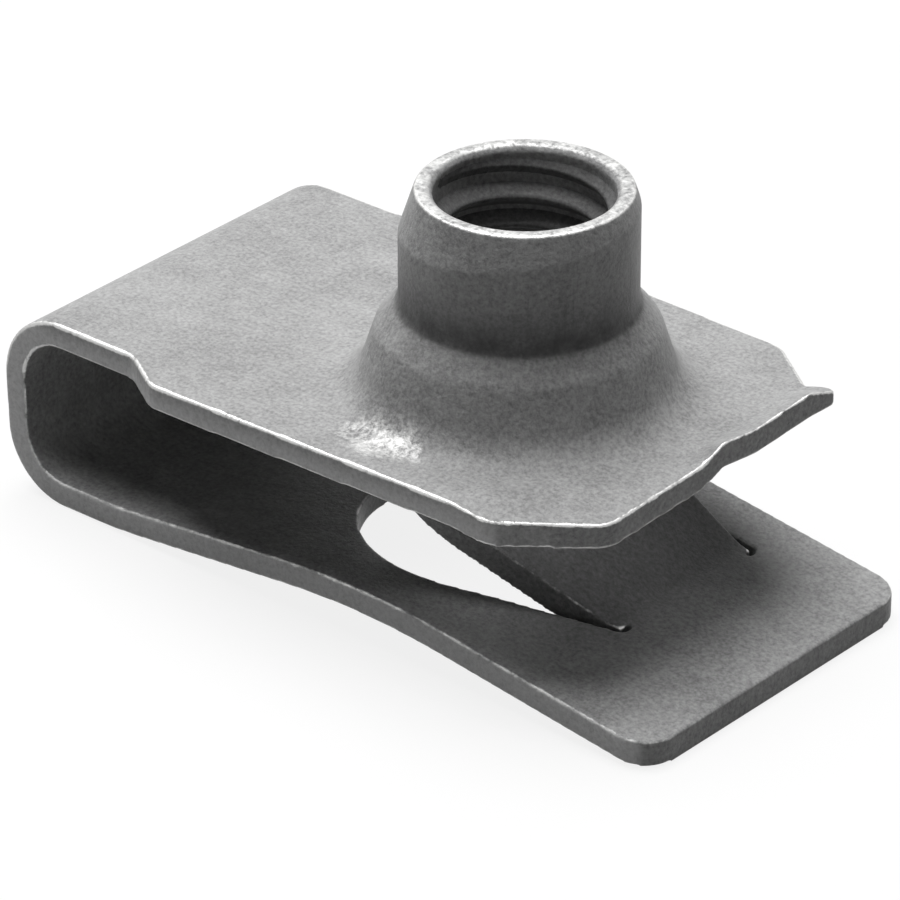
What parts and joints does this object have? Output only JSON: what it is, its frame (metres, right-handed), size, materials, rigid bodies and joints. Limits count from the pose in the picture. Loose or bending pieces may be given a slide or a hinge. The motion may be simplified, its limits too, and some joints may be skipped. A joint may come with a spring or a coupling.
{
  "type": "u clip speed nut",
  "caption": "Folded sheet-steel clip nut: a threaded leg with a raised boss and a drawn barrel, and a plain leg with a round window, a lanced spring tongue and a turned-down tip.",
  "frame": {"origin": "on the thread axis, in the plane of the threaded leg's underside, which bears on the panel", "axes": "+X from the fold to the open end, +Y across the strip, +Z along the thread axis towards the barrel's mouth"},
  "size_m": [0.028, 0.016, 0.0149],
  "materials": {
    "spring_steel": "satin, fine grained, lightly oiled spring steel"
  },
  "bodies": {
    "root": {"u_nut": "spring_steel"}
  },
  "joints": []
}
